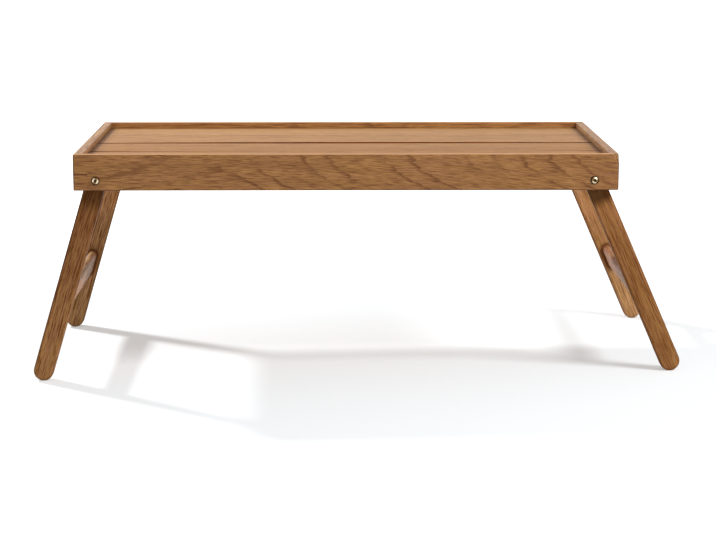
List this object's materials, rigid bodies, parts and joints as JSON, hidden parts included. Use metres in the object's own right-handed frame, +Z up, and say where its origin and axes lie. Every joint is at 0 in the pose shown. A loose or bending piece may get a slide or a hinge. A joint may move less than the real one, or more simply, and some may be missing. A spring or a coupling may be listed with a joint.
{
  "type": "folding bed tray",
  "caption": "Oak bed tray with a boarded deck set below a mitred rim, standing on splayed leg frames that fold flat under it on brass pivot screws.",
  "frame": {"origin": "middle of the bounding box's base, on the level surface that the four feet stand on, with both leg frames open against their stops", "axes": "+X along the tray to its right end, +Y from its front rail to its back rail, +Z up; the tray itself slopes down to the right by 0.78 degrees, because the right leg frame opens wider"},
  "size_m": [0.7258, 0.3354, 0.256],
  "materials": {
    "oak_long_rail": "oiled oak, grain along the rail",
    "oak_end_rail": "oiled oak, grain along the rail",
    "oak_deck": "oiled pale oak, grain along the board",
    "oak_leg": "oiled oak, grain along the leg",
    "oak_stretcher": "oiled oak, grain along the slat",
    "key_wood": "dark wood key, flush and oiled",
    "brass_screw": "satin brass",
    "brass_washer": "satin brass",
    "brass_insert": "turned brass"
  },
  "bodies": {
    "tray": {"front_rail": "oak_long_rail", "back_rail": "oak_long_rail", "left_end_rail": "oak_end_rail", "right_end_rail": "oak_end_rail", "front_left_key": "key_wood", "front_right_key": "key_wood", "back_left_key": "key_wood", "back_right_key": "key_wood", "deck_board_1": "oak_deck", "deck_board_2": "oak_deck", "deck_board_3": "oak_deck", "deck_board_4": "oak_deck"},
    "left_leg_frame": {"front_left_leg": "oak_leg", "back_left_leg": "oak_leg", "left_stretcher": "oak_stretcher", "front_left_pivot_screw": "brass_screw", "back_left_pivot_screw": "brass_screw", "front_left_washer": "brass_washer", "back_left_washer": "brass_washer", "front_left_insert": "brass_insert", "back_left_insert": "brass_insert"},
    "right_leg_frame": {"front_right_leg": "oak_leg", "back_right_leg": "oak_leg", "right_stretcher": "oak_stretcher", "front_right_pivot_screw": "brass_screw", "back_right_pivot_screw": "brass_screw", "front_right_washer": "brass_washer", "back_right_washer": "brass_washer", "front_right_insert": "brass_insert", "back_right_insert": "brass_insert"}
  },
  "joints": [
    {"name": "left_leg_fold", "type": "hinge", "parent": "tray", "child": "left_leg_frame", "pos_m": [-0.28439, 0, 0.22688], "axis": [0, -1, 0], "range_deg": [0, 106.56]},
    {"name": "right_leg_fold", "type": "hinge", "parent": "tray", "child": "right_leg_frame", "pos_m": [0.26396, 0, 0.2194], "axis": [0, 1, 0], "range_deg": [0, 113.63]}
  ]
}
